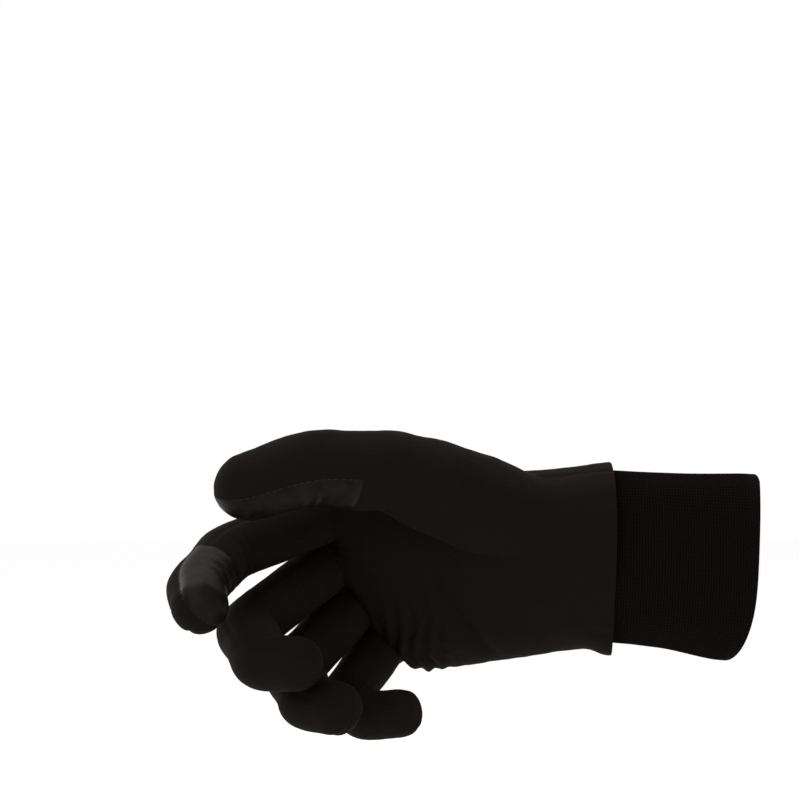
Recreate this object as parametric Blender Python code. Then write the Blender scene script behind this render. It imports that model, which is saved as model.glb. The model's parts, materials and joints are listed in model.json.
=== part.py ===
"""Right-hand knitted running glove with touchscreen fingertips, held in a phone grip.

Units are metres and +Z is up. The origin is the centre of the cuff's open end. The forearm would
lie along +X, the fingers reach towards -X, and the palm faces -Y.

Every panel is a thin curved strip of cloth. A finger is a chain of three stiff lengths of strips,
one for each bone, and each length hangs from an empty that sits on its hinge axis. In that empty's
own axes X runs along the finger, Y points to the thumb side and Z points out of the back of the
hand, so a turn about +Y closes the finger.
"""

import math

import bpy
from mathutils import Matrix, Vector

# ---------------------------------------------------------------- driving dimensions, in mm and degrees
MM = 0.001
CLOTH = 1.0  # thickness of the brushed stretch jersey
SEAM_GAP = 0.4  # clear space between two panels that a seam would join
HINGE_GAP = 0.5  # clear space on each side of a hinge axis
SPARE_ANGLE = 3.0  # edges at a hinge are cut back for this much more than its travel
SHARP_EDGE = 40.0  # faces that meet at more than this aren't smoothed together

PALM_ROLL = 24.0  # the palm is turned down by this much from facing -Y
PALM_SWING = 7.0  # the hand drops this far towards its little-finger side
WRIST = (-62.0, 0.0, 4.0)  # the wrist's hinge
WRIST_TRAVEL = 25.0

CUFF_END = (37.0, 27.0)  # half width and half depth of the oval at the open end
CUFF_SEAM = (34.5, 25.0)  # and at the seam to the hand
CUFF_LENGTH = 56.0
CUFF_ROLL = 20.0
CUFF_LIFT = 3.7  # how far the seam end stands above the open end
CUFF_LAYER = 1.1  # one layer of rib knit
CUFF_FOLD = 0.5  # air between the two layers
CUFF_BEND = 0.9  # radius of the fold's two corners, which leaves a flat rim between them
CUFF_HEM = 1.6  # how far in from the open end the air between the layers stops
CUFF_SIDES = 40
SEAM_BAND = 3.0  # width of the overlocked seam allowance
SEAM_DEPTHS = (0.4, 2.4)  # insets of its outer and inner faces
LABEL_CENTRE, LABEL_HALF_ANGLE = 90.0, 20.0
LABEL_TUCK, LABEL_LENGTH = 2.0, 20.0  # how far it goes past the seam, and how far it lies up the cuff
LABEL_DEPTHS = (3.1, 3.5)

# Each finger: knuckle in the hand's axes, swing to the little-finger side, bends at rest, how much
# further it closes, bone lengths, half widths and half depths at the three hinges and the tip.
FINGERS = {
    "index": {
        "knuckle": (100.0, 29.6, 4.0), "swing": 2.0, "bends": (30.0, 37.0, 30.0),
        "closing": (8.0, 10.0, 6.5), "bones": (45.0, 26.0, 15.5),
        "width": (10.3, 10.9, 10.6, 10.1), "depth": (12.4, 11.5, 10.8, 10.2), "forks": ("ulnar",),
    },
    "middle": {
        "knuckle": (103.0, 8.0, 3.5), "swing": 9.0, "bends": (48.0, 58.0, 44.0),
        "closing": (12.0, 10.0, 7.0), "bones": (49.0, 30.0, 15.0),
        "width": (10.3, 10.7, 10.5, 10.1), "depth": (12.4, 11.4, 10.8, 10.2), "forks": ("radial", "ulnar"),
    },
    "ring": {
        "knuckle": (97.0, -12.0, 4.0), "swing": 12.0, "bends": (58.0, 48.0, 30.0),
        "closing": (10.0, 10.0, 7.0), "bones": (45.0, 28.0, 15.0),
        "width": (9.9, 10.3, 10.1, 9.8), "depth": (12.0, 11.0, 10.4, 9.9), "forks": ("radial", "ulnar"),
    },
    "little": {
        "knuckle": (87.0, -30.0, 4.0), "swing": 16.0, "bends": (63.0, 53.0, 35.0),
        "closing": (8.0, 10.0, 7.0), "bones": (36.0, 21.0, 14.0),
        "width": (9.3, 9.3, 9.1, 8.9), "depth": (11.3, 9.9, 9.3, 9.0), "forks": ("radial",),
    },
}
PAD_WRAP = 36.0  # the index finger's pad goes on round its thumb side by this angle
FORK_HALF = 6.2  # a fourchette, the strip between two fingers, is cut this far each side of the middle

THUMB_ROOT = (27.5, 22.0, -5.0)
THUMB_ALONG = (0.79, 0.57, -0.23)  # the thumb's first bone, in the hand's axes
THUMB_BACK = (-0.61, 0.72, 0.32)  # and the way its nail would face
THUMB = {
    "bends": (17.0, 20.0), "closing": (8.0, 12.0), "bones": (56.0, 35.0, 25.3),
    "width": (19.0, 15.6, 14.0, 11.4), "depth": (19.5, 16.0, 14.2, 11.2),
}

# Half width and half depth of the hand at distances from the wrist hinge, and its centre's offset
# to the thumb side and to the back.
HAND_ROWS = (
    (0.0, 36.0, 25.5, 0.0, 0.0),
    (12.0, 36.0, 24.5, 0.0, 0.0),
    (40.0, 37.5, 20.5, 0.5, 1.0),
    (70.0, 40.0, 17.0, 0.0, 2.5),
    (104.0, 41.0, 14.5, -1.5, 3.0),
)
HAND_SQUARENESS = 2.5  # 2 is an ellipse, more is boxier
KNUCKLE_GAP = 2.2  # from the knuckle line back to the edge of the hand panels
WRIST_EDGE_GAP = 1.1  # from the wrist hinge to the nearest edge of the hand panels
PALM_CUT_ANGLE = 36.0  # the palm's edge slopes back by this much to let the fingers close
PALM_CUT_HEIGHT = 3.0  # and the slope starts this far above the wrist's axis
KNUCKLE_ROW = 95.0  # distance from the wrist where the edge's height is read
TIP_CROWDING = 1.6  # above 1, rows crowd towards a rounded tip
TIP_REACH = 0.985  # share of a rounded tip that the strips cover, where its seam closes it
THUMB_BASE_START = 2.0  # from the thumb's root to the edge of its base panel
CUTTER_SIDES = 40

# ---------------------------------------------------------------- clear the scene
for old in list(bpy.data.objects):
    bpy.data.objects.remove(old, do_unlink=True)


# ---------------------------------------------------------------- materials
def srgb(hex_code):
    """The linear colour of an sRGB hex code."""
    channels = [int(hex_code[i : i + 2], 16) / 255 for i in (1, 3, 5)]
    return [c / 12.92 if c <= 0.04045 else ((c + 0.055) / 1.055) ** 2.4 for c in channels] + [1.0]


FINISHES = {
    "brushed_jersey": ("#1a1512", 0.92),
    "rib_knit": ("#14100e", 0.95),
    "touch_leather": ("#211c19", 0.48),
    "seam_thread": ("#191512", 0.80),
    "woven_label": ("#2b2826", 0.85),
}


def material_for(name, finish):
    colour, roughness = FINISHES[finish]
    material = bpy.data.materials.new(f"{name}_{finish}")
    material.use_nodes = True
    shader = material.node_tree.nodes["Principled BSDF"]
    shader.inputs["Base Color"].default_value = srgb(colour)
    shader.inputs["Roughness"].default_value = roughness
    shader.inputs["Metallic"].default_value = 0.0
    return material


# ---------------------------------------------------------------- mesh helpers
def add_mesh(name, points, faces, finish, parent=None):
    """A mesh object from points in millimetres, in its parent's own axes."""
    mesh = bpy.data.meshes.new(name)
    mesh.from_pydata([Vector(p) * MM for p in points], [], faces)
    mesh.materials.append(material_for(name, finish))
    mesh.shade_smooth()
    mesh.set_sharp_from_angle(angle=math.radians(SHARP_EDGE))
    thing = bpy.data.objects.new(name, mesh)
    bpy.context.collection.objects.link(thing)
    thing.parent = parent
    return thing


def strip(name, surface, arc, start, end, finish, parent=None, cells=(6, 6), spacing=None, depths=None):
    """A strip of cloth on surface(angle, along, inset).

    arc holds the two angles, start and end give the length's limits at an angle, spacing bends the
    rows towards one end, and depths are the insets of the outer and inner faces.
    """
    outer_inset, inner_inset = depths or (0.0, CLOTH)
    columns, rows = cells
    spread = spacing or (lambda share: share)
    points = []
    for inset in (outer_inset, inner_inset):
        for i in range(columns + 1):
            angle = arc[0] + (arc[1] - arc[0]) * i / columns
            first, last = start(angle), end(angle)
            for j in range(rows + 1):
                points.append(surface(angle, first + (last - first) * spread(j / rows), inset))
    side = (columns + 1) * (rows + 1)

    def at(i, j, layer):
        return layer * side + i * (rows + 1) + j

    faces = []
    for i in range(columns):
        for j in range(rows):
            faces.append((at(i, j, 0), at(i, j + 1, 0), at(i + 1, j + 1, 0), at(i + 1, j, 0)))
            faces.append((at(i, j, 1), at(i + 1, j, 1), at(i + 1, j + 1, 1), at(i, j + 1, 1)))
        for j in (0, rows):
            edge = (at(i, j, 0), at(i + 1, j, 0), at(i + 1, j, 1), at(i, j, 1))
            faces.append(edge if j == 0 else edge[::-1])
    for j in range(rows):
        for i in (0, columns):
            edge = (at(i, j, 0), at(i, j, 1), at(i, j + 1, 1), at(i, j + 1, 0))
            faces.append(edge if i == 0 else edge[::-1])
    return add_mesh(name, points, faces, finish, parent)


def add_axis(name, parent, location, turn=None):
    """An empty on a hinge axis: location in mm and turn as a matrix, both in the parent's axes."""
    axis = bpy.data.objects.new(name, None)
    axis.empty_display_size = 0.01
    bpy.context.collection.objects.link(axis)
    axis.parent = parent
    axis.matrix_local = Matrix.Translation(Vector(location) * MM) @ (turn or Matrix()).to_4x4()
    return axis


def blend_rows(rows, along):
    """The row of values at a distance, read between the given rows."""
    for low, high in zip(rows, rows[1:]):
        if along <= high[0] or high is rows[-1]:
            share = (along - low[0]) / (high[0] - low[0])
            return [a + (b - a) * share for a, b in zip(low[1:], high[1:])]
    return list(rows[-1][1:])


# ---------------------------------------------------------------- cuff
def cuff_point(angle, along, inset):
    """A point on the cuff: along is its X, from the open end at 0 back to the seam."""
    share = -along / CUFF_LENGTH
    half_width = CUFF_END[0] + (CUFF_SEAM[0] - CUFF_END[0]) * share - inset
    half_depth = CUFF_END[1] + (CUFF_SEAM[1] - CUFF_END[1]) * share - inset
    across, back = half_width * math.cos(angle), half_depth * math.sin(angle)
    roll = math.radians(CUFF_ROLL)
    y = -across * math.sin(roll) + back * math.cos(roll)
    z = across * math.cos(roll) + back * math.sin(roll) + CUFF_LIFT * share
    return (along, y, z)


def make_cuff():
    """One tube of rib knit, folded back on itself at the open end, so both raw edges meet the hand."""
    wall = 2 * CUFF_LAYER + CUFF_FOLD
    inner_layer = CUFF_LAYER + CUFF_FOLD
    profile = [(-CUFF_LENGTH, 0.0), (-0.66 * CUFF_LENGTH, 0.0), (-0.33 * CUFF_LENGTH, 0.0)]
    for step in range(4):
        turn = math.radians(30 * step)
        profile.append((-CUFF_BEND + CUFF_BEND * math.sin(turn), CUFF_BEND - CUFF_BEND * math.cos(turn)))
    for step in range(4):
        turn = math.radians(30 * step)
        inset = wall - CUFF_BEND + CUFF_BEND * math.sin(turn)
        profile.append((-CUFF_BEND + CUFF_BEND * math.cos(turn), inset))
    profile += [(-0.33 * CUFF_LENGTH, wall), (-0.66 * CUFF_LENGTH, wall), (-CUFF_LENGTH, wall)]
    profile += [(-CUFF_LENGTH, inner_layer), (-CUFF_HEM, inner_layer)]
    profile += [(-CUFF_HEM, CUFF_LAYER), (-CUFF_LENGTH, CUFF_LAYER)]
    points = []
    for i in range(CUFF_SIDES):
        points += [cuff_point(2 * math.pi * i / CUFF_SIDES, along, inset) for along, inset in profile]
    count = len(profile)
    faces = []
    for i in range(CUFF_SIDES):
        here, there = i * count, (i + 1) % CUFF_SIDES * count
        for j in range(count):
            after = (j + 1) % count
            faces.append((here + j, here + after, there + after, there + j))
    add_mesh("rib_knit_cuff", points, faces, "rib_knit")


def make_seam_and_label():
    """The overlocked seam allowance inside the wrist, and the blank care label sewn into it."""
    seam_end = -CUFF_LENGTH - SEAM_GAP
    outside, inside = SEAM_DEPTHS
    far_end = seam_end - SEAM_BAND
    profile = [(far_end, outside), (seam_end, outside), (seam_end, inside), (far_end, inside)]
    points = []
    for i in range(CUFF_SIDES):
        points += [cuff_point(2 * math.pi * i / CUFF_SIDES, along, inset) for along, inset in profile]
    faces = []
    for i in range(CUFF_SIDES):
        here, there = i * 4, (i + 1) % CUFF_SIDES * 4
        faces += [(here + j, here + (j + 1) % 4, there + (j + 1) % 4, there + j) for j in range(4)]
    add_mesh("wrist_seam_overlock", points, faces, "seam_thread")
    middle, half = math.radians(LABEL_CENTRE), math.radians(LABEL_HALF_ANGLE)
    strip(
        "care_label", cuff_point, (middle - half, middle + half),
        lambda angle: -CUFF_LENGTH - LABEL_TUCK, lambda angle: -CUFF_LENGTH + LABEL_LENGTH,
        "woven_label", cells=(6, 2), depths=LABEL_DEPTHS,
    )


# ---------------------------------------------------------------- hand
def squared(value):
    """A cosine or sine pushed outwards to make the hand's section boxier than an ellipse."""
    return math.copysign(abs(value) ** (2 / HAND_SQUARENESS), value)


def hand_point(angle, along, inset):
    half_width, half_depth, side, back = blend_rows(HAND_ROWS, along)
    across = (half_width - inset) * squared(math.cos(angle)) + side
    return (along, across, (half_depth - inset) * squared(math.sin(angle)) + back)


def knuckle_line(across):
    """How far out the hand panels reach, from the little-finger side to the thumb side."""
    knuckles = [FINGERS[name]["knuckle"] for name in ("little", "ring", "middle", "index")]
    if across <= knuckles[0][1]:
        return knuckles[0][0]
    for low, high in zip(knuckles, knuckles[1:]):
        if across <= high[1]:
            return low[0] + (high[0] - low[0]) * (across - low[1]) / (high[1] - low[1])
    return knuckles[-1][0]


def hand_start(angle):
    """The wrist edge is cut to a wedge above and below the hinge, so the hand can tip both ways."""
    height = abs(hand_point(angle, 0.0, 0.0)[2])
    return WRIST_EDGE_GAP + height * math.tan(math.radians(WRIST_TRAVEL + SPARE_ANGLE))


def hand_end(angle):
    """The knuckle edge, cut back in the palm to make room for the closing fingers."""
    _, across, height = hand_point(angle, KNUCKLE_ROW, 0.0)
    in_palm = max(0.0, PALM_CUT_HEIGHT - height)
    return knuckle_line(across) - KNUCKLE_GAP - in_palm * math.tan(math.radians(PALM_CUT_ANGLE))


def closed_body(name, surface, rows, sides):
    """A closed solid inside a surface, used as a cutter: rows are its stations along."""
    points = []
    for along in rows:
        points += [surface(2 * math.pi * i / sides, along, 0.0) for i in range(sides)]
    faces = [tuple(reversed(range(sides))), tuple(range(len(points) - sides, len(points)))]
    for j in range(len(rows) - 1):
        for i in range(sides):
            after = (i + 1) % sides
            low, high = j * sides, (j + 1) * sides
            faces.append((low + i, low + after, high + after, high + i))
    mesh = bpy.data.meshes.new(name)
    mesh.from_pydata([Vector(p) * MM for p in points], [], faces)
    cutter = bpy.data.objects.new(name, mesh)
    bpy.context.collection.objects.link(cutter)
    cutter.hide_render = True
    cutter.display_type = "WIRE"
    return cutter


def cut(thing, cutter):
    boolean = thing.modifiers.new("cut", "BOOLEAN")
    boolean.operation = "DIFFERENCE"
    boolean.object = cutter
    boolean.solver = "EXACT"


# ---------------------------------------------------------------- fingers and thumb
def tube_surface(length, widths, depths, round_tip):
    """surface(angle, along, inset) of one straight length, tapering between its two ends."""
    cap = (widths[1] + depths[1]) / 2

    def surface(angle, along, inset):
        share = min(1.0, max(0.0, along / length))
        half_width = widths[0] + (widths[1] - widths[0]) * share - inset
        half_depth = depths[0] + (depths[1] - depths[0]) * share - inset
        if round_tip and along > length:
            reach = min(0.995, (along - length) / cap)
            shrink = math.sqrt(1 - reach * reach)
            along = length + reach * (cap - inset)
            half_width *= shrink
            half_depth *= shrink
        return (along, half_width * math.cos(angle), half_depth * math.sin(angle))

    return surface, cap


def wedge(half_depth, opening):
    """How far an edge is cut back at an angle, so that the palm side can close by the opening."""

    def cut_back(angle):
        in_palm = max(0.0, -half_depth * math.sin(angle))
        on_back = max(0.0, half_depth * math.sin(angle))
        return HINGE_GAP + in_palm * math.tan(opening / 2) + on_back * math.tan(math.radians(2))

    return cut_back


def tip_spacing(share):
    """Rows closer together towards a rounded tip."""
    return 1 - (1 - share) ** TIP_CROWDING


def fork_angle(half_depth):
    return math.asin(FORK_HALF / half_depth)


def digit_arcs(forks, half_depth, wrap):
    """The angles that each strip of a finger covers, by its name. wrap widens the palm strip."""
    edge = fork_angle(half_depth)
    thumb_side = edge if "radial" in forks else 0.0
    little_side = edge if "ulnar" in forks else 0.0
    arcs = {
        "back": (thumb_side + wrap, math.pi - little_side),
        "palm": (math.pi + little_side, 2 * math.pi - thumb_side + wrap),
    }
    if "radial" in forks:
        arcs["fourchette_radial"] = (-edge, edge)
    if "ulnar" in forks:
        arcs["fourchette_ulnar"] = (math.pi - edge, math.pi + edge)
    return arcs


def make_length(name, axis, length, widths, depths, openings, forks, pad_name=None):
    """The strips of one length of a finger. openings are the closing angles at its two ends, in
    degrees, and the second is None at a fingertip."""
    surface, cap = tube_surface(length, widths, depths, openings[1] is None)
    near = wedge(depths[0], math.radians(openings[0]))
    if openings[1] is None:
        far_end = length + TIP_REACH * cap

        def far(angle):
            return far_end
    else:
        far_cut = wedge(depths[1], math.radians(openings[1]))

        def far(angle):
            return length - far_cut(angle)

    half_gap = SEAM_GAP / 2 / min(widths[1], depths[1])
    wrap = math.radians(PAD_WRAP) if pad_name == "index_touch_pad" else 0.0
    for kind, (first, last) in digit_arcs(forks, min(depths), wrap).items():
        is_pad = kind == "palm" and pad_name
        strip(
            pad_name if is_pad else f"{name}_{kind}",
            surface, (last - half_gap, first + half_gap), near, far,
            "touch_leather" if is_pad else "brushed_jersey", axis,
            cells=(6 if last - first > 1.6 else 4, 7 if openings[1] is None else 4),
            spacing=tip_spacing if openings[1] is None else None,
        )


def turn_y(degrees):
    return Matrix.Rotation(math.radians(degrees), 4, "Y")


LENGTH_NAMES = ("proximal", "middle", "distal")
HINGE_NAMES = ("knuckle", "middle_joint", "end_joint")


def make_finger(name, finger, hand_axis):
    widths, depths = finger["width"], finger["depth"]
    openings = [bend + more + SPARE_ANGLE for bend, more in zip(finger["bends"], finger["closing"])] + [None]
    parent, place = hand_axis, finger["knuckle"]
    turn = Matrix.Rotation(math.radians(-finger["swing"]), 4, "Z") @ turn_y(finger["bends"][0])
    for i, (kind, hinge) in enumerate(zip(LENGTH_NAMES, HINGE_NAMES)):
        parent = add_axis(f"{name}_{hinge}_axis", parent, place, turn)
        length = finger["bones"][i]
        pad = f"{name}_touch_pad" if name == "index" and kind == "distal" else None
        make_length(
            f"{name}_{kind}", parent, length, widths[i : i + 2], depths[i : i + 2],
            openings[i : i + 2], finger["forks"], pad,
        )
        if i < 2:
            place, turn = (length, 0, 0), turn_y(finger["bends"][i + 1])


def frame_matrix(along, back):
    """A rotation whose X is along and whose Z is as near to back as it can be."""
    x = Vector(along).normalized()
    z = (Vector(back) - x * x.dot(Vector(back))).normalized()
    return Matrix((x, z.cross(x), z)).transposed().to_4x4()


def make_thumb(hand_axis):
    """The thumb's base is sewn to the hand and moves with it, and its two lengths hinge."""
    widths, depths = THUMB["width"], THUMB["depth"]
    root = add_axis("thumb_root", hand_axis, THUMB_ROOT, frame_matrix(THUMB_ALONG, THUMB_BACK))
    openings = [bend + more + SPARE_ANGLE for bend, more in zip(THUMB["bends"], THUMB["closing"])] + [None]
    length = THUMB["bones"][0]
    surface, _ = tube_surface(length, widths[:2], depths[:2], False)
    far_cut = wedge(depths[1], math.radians(openings[0]))
    half_gap = SEAM_GAP / 2 / widths[1]
    base = strip(
        "thumb_base_panel", surface, (2 * math.pi - half_gap, half_gap), lambda angle: THUMB_BASE_START,
        lambda angle: length - far_cut(angle), "brushed_jersey", root, cells=(24, 8),
    )
    place, turn, parent = (length, 0, 0), turn_y(THUMB["bends"][0]), root
    for i, (kind, hinge) in enumerate((("proximal", "knuckle"), ("distal", "end_joint"))):
        parent = add_axis(f"thumb_{hinge}_axis", parent, place, turn)
        bone = THUMB["bones"][i + 1]
        pad = "thumb_touch_pad" if kind == "distal" else None
        make_length(
            f"thumb_{kind}", parent, bone, widths[i + 1 : i + 3], depths[i + 1 : i + 3],
            openings[i : i + 2], (), pad,
        )
        if i == 0:
            place, turn = (bone, 0, 0), turn_y(THUMB["bends"][1])
    return root, base, surface


def main():
    make_cuff()
    make_seam_and_label()
    roll, swing = math.radians(PALM_ROLL), math.radians(PALM_SWING)
    facing = Matrix(((-1, 0, 0), (0, -math.sin(roll), math.cos(roll)), (0, math.cos(roll), math.sin(roll))))
    turn = facing.transposed().to_4x4() @ Matrix.Rotation(-swing, 4, "Z")
    hand_axis = add_axis("wrist_axis", None, WRIST, turn)
    for name, finger in FINGERS.items():
        make_finger(name, finger, hand_axis)
    thumb_root, thumb_base, thumb_surface = make_thumb(hand_axis)

    half_gap = SEAM_GAP / 2 / HAND_ROWS[-1][2]
    back = strip(
        "back_panel", hand_point, (math.pi - half_gap, half_gap), hand_start, hand_end,
        "brushed_jersey", hand_axis, cells=(20, 8),
    )
    palm = strip(
        "palm_panel", hand_point, (2 * math.pi - half_gap, math.pi + half_gap), hand_start, hand_end,
        "brushed_jersey", hand_axis, cells=(20, 8),
    )
    hand_core = closed_body(
        "hand_core_cutter", lambda a, s, _: hand_point(a, s, -SEAM_GAP),
        [row[0] for row in HAND_ROWS[1:]], CUTTER_SIDES,
    )
    hand_core.parent = hand_axis
    thumb_core = closed_body(
        "thumb_core_cutter", lambda a, s, _: thumb_surface(a, s, -SEAM_GAP), (-2.0, THUMB["bones"][0] + 20.0), 24
    )
    thumb_core.parent = thumb_root
    cut(thumb_base, hand_core)
    cut(back, thumb_core)
    cut(palm, thumb_core)


main()
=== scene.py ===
# %% [markdown]
# A right-hand running glove of brushed stretch jersey, closed as if it held a phone. The index finger
# and the thumb end in smooth conductive leather, and a folded rib-knit cuff grips the wrist. Each
# finger is swept along its own hinges, which come with the frame. The sleeves' sizes, the hand's
# rows, the folds, the colours and the lights are set one by one. Millimetres are used throughout, and
# turned to metres when a mesh is made.

# %% Load the frame
import json
import math

import bmesh
import bpy
import numpy as np
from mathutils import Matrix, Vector, noise


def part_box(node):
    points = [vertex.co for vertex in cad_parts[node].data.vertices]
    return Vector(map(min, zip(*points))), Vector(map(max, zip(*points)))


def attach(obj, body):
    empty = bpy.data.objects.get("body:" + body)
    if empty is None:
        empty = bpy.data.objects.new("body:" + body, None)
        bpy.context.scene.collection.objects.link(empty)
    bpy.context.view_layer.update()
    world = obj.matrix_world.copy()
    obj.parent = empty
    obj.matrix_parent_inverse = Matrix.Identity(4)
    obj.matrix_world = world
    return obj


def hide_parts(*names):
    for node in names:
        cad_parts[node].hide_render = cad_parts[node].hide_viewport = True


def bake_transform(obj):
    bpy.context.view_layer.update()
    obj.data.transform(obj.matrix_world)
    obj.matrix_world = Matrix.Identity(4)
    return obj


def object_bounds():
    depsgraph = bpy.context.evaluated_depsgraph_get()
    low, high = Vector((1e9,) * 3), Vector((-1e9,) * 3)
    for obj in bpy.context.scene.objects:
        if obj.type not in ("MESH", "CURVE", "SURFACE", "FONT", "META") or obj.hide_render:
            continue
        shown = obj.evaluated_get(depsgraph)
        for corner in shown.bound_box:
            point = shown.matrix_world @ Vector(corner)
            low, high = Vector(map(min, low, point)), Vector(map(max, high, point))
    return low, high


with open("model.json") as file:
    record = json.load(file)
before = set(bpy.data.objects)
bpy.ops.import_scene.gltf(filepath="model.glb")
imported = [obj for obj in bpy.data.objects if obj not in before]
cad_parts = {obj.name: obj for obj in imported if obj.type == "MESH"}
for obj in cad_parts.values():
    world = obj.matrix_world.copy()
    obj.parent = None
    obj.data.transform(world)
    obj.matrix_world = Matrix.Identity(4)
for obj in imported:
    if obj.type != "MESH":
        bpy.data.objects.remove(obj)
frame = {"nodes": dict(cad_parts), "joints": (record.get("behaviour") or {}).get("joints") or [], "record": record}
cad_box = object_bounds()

MM = 0.001
FINGER_NAMES = ("index", "middle", "ring", "little")

# %% [markdown]
# Each hinge has a place and an axis. A finger is a chain of three hinges, and its last length points
# at the tip, which is the part of its end nodes that lies furthest from the last hinge. The hinge
# axis points to the thumb side, so the cross product of the way along and that axis points out of the
# back of the hand.

# %% Hinges, bones and tips
JOINTS = {joint["name"]: joint for joint in frame["joints"]}
BODIES = frame["record"]["behaviour"]["bodies"]


def unit(vector):
    return vector / np.linalg.norm(vector)


def hinge(name):
    """The place in mm and the unit axis of a joint."""
    joint = JOINTS[name]
    return np.array(joint["pos_m"]) / MM, unit(np.array(joint["axis"], float))


def tip_of(body, place):
    """The far end of a body's nodes, in mm."""
    points = [np.array([v.co[:] for v in frame["nodes"][n].data.vertices]) for n in BODIES[body]]
    points = np.concatenate(points) / MM
    reach = np.linalg.norm(points - place, axis=1)
    return points[reach > reach.max() - 0.5].mean(axis=0)


def chain(name, hinges):
    places = [hinge(f"{name}_{kind}_bend")[0] for kind in hinges]
    axis = hinge(f"{name}_{hinges[0]}_bend")[1]
    return np.array([*places, tip_of(f"{name}_distal", places[-1])]), axis


CHAINS = {name: chain(name, ("knuckle", "middle_joint", "end_joint")) for name in FINGER_NAMES}
CHAINS["thumb"] = chain("thumb", ("knuckle", "end_joint"))
WRIST, HAND_Y = hinge("wrist_bend")
for name, (places, _) in CHAINS.items():
    print(name, "tip at", np.round(places[-1], 1))

# %% [markdown]
# The hand has its own axes: along from wrist to knuckles, across to the thumb side, back out of the
# back of the hand. Everything that lies on the palm is placed in them.

# %% The hand's axes
AWAY_FROM_ARM = np.array([-1.0, 0.0, 0.0])
HAND_X = unit(AWAY_FROM_ARM - HAND_Y * (AWAY_FROM_ARM @ HAND_Y))
HAND_Z = np.cross(HAND_X, HAND_Y)
HAND = np.array([HAND_X, HAND_Y, HAND_Z])


def to_hand(points):
    return (np.atleast_2d(points) - WRIST) @ HAND.T


def from_hand(points):
    return np.atleast_2d(points) @ HAND + WRIST


BURIED = 13.0  # a sleeve starts this far back inside the hand
THUMB_ROOT = from_hand([27.5, 22.0, -5.0])[0]
KNUCKLES = {name: places[0] for name, (places, _) in CHAINS.items()}
for name, (places, axis) in CHAINS.items():
    back_way = unit(THUMB_ROOT - places[0]) if name == "thumb" else -HAND_X
    CHAINS[name] = (np.array([places[0] + back_way * BURIED, *places]), axis)
print("knuckles in the hand's axes", {n: np.round(to_hand(k)[0]) for n, k in KNUCKLES.items()})

# %% [markdown]
# Half widths and half depths of the sleeves at their buried start, at each hinge and at the tip. They
# are close to the solid strips' sizes. The ends of the middle and ring fingers are slimmer, so that
# the two clear each other when the whole hand closes.

# %% Sleeve sizes
WIDTHS = {
    "index": (9.6, 10.6, 10.9, 10.6, 10.2), "middle": (9.6, 10.6, 10.8, 10.4, 9.9),
    "ring": (9.2, 10.2, 10.4, 9.9, 9.5), "little": (8.6, 9.6, 9.4, 9.2, 9.0),
    "thumb": (14.6, 15.2, 13.9, 11.6),
}
DEPTHS = {
    "index": (11.4, 12.5, 11.6, 10.9, 10.3), "middle": (11.4, 12.5, 11.5, 10.9, 10.3),
    "ring": (11.0, 12.1, 11.1, 10.5, 10.0), "little": (10.2, 11.4, 10.0, 9.4, 9.1),
    "thumb": (14.8, 15.5, 14.2, 11.4),
}
CLOTH = 0.9  # brushed jersey, in mm
SQUARE_TIP = {"little": 3.2}  # its end seam leaves it nearly square; the others are round


# %% [markdown]
# A cloth piece is a skin with a second skin inside it and a rim between, so that each cut edge shows
# the jersey's thickness. The shading normals come from the whole glove before it was cut, so two
# pieces that meet at a seam shade as one surface.

# %% Cloth from a skin
def cloth(name, points, faces, normals, finish, thickness=CLOTH):
    """A closed shell: points in mm, faces as index lists, and one normal a point."""
    points, normals = np.asarray(points, float), np.asarray(normals, float)
    count = len(points)
    both = np.concatenate([points, points - normals * thickness]) * MM
    edges = {}
    for face in faces:
        for a, b in zip(face, (*face[1:], face[0])):
            edges[(a, b)] = edges.get((a, b), 0) + 1
    rims = [(b, a, a + count, b + count) for (a, b) in edges if (b, a) not in edges]
    inner = [tuple(i + count for i in reversed(face)) for face in faces]
    mesh = bpy.data.meshes.new(name)
    mesh.from_pydata(both.tolist(), [], [tuple(map(int, f)) for f in [*faces, *inner, *rims]])
    mesh.shade_smooth()
    loops = []
    for polygon in mesh.polygons:
        rim = polygon.index >= 2 * len(faces)
        for v in polygon.vertices:
            loops.append((0, 0, 0) if rim else tuple(normals[v] if v < count else -normals[v - count]))
    mesh.normals_split_custom_set(loops)
    mesh.materials.append(finish)
    thing = bpy.data.objects.new(name, mesh)
    bpy.context.scene.collection.objects.link(thing)
    return thing


def grid_faces(columns, rows, closed):
    """Quads of a grid of points stored column by column."""
    last = columns if closed else columns - 1
    faces = []
    for i in range(last):
        here, there = i * rows, (i + 1) % columns * rows
        faces += [(here + j, there + j, there + j + 1, here + j + 1) for j in range(rows - 1)]
    return faces


def grid_normals(points, columns, rows, closed):
    """Smooth normals of a grid of points, pointing out of a tube whose columns turn from across to back."""
    grid = np.asarray(points).reshape(columns, rows, 3)
    if closed:
        around = np.roll(grid, -1, 0) - np.roll(grid, 1, 0)
    else:
        around = np.gradient(grid, axis=0)
    normals = np.cross(around, np.gradient(grid, axis=1))
    length = np.linalg.norm(normals, axis=2, keepdims=True)
    normals = normals / np.maximum(length, 1e-9)
    return normals.reshape(-1, 3)


# %% [markdown]
# Materials. One helper adds a node; every finish below uses it.

# %% Node helper and colours
def srgb(hex_code):
    """Linear colour of an sRGB hex code."""
    channels = [int(hex_code[i : i + 2], 16) / 255 for i in (1, 3, 5)]
    return [c / 12.92 if c <= 0.04045 else ((c + 0.055) / 1.055) ** 2.4 for c in channels] + [1.0]


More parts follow.
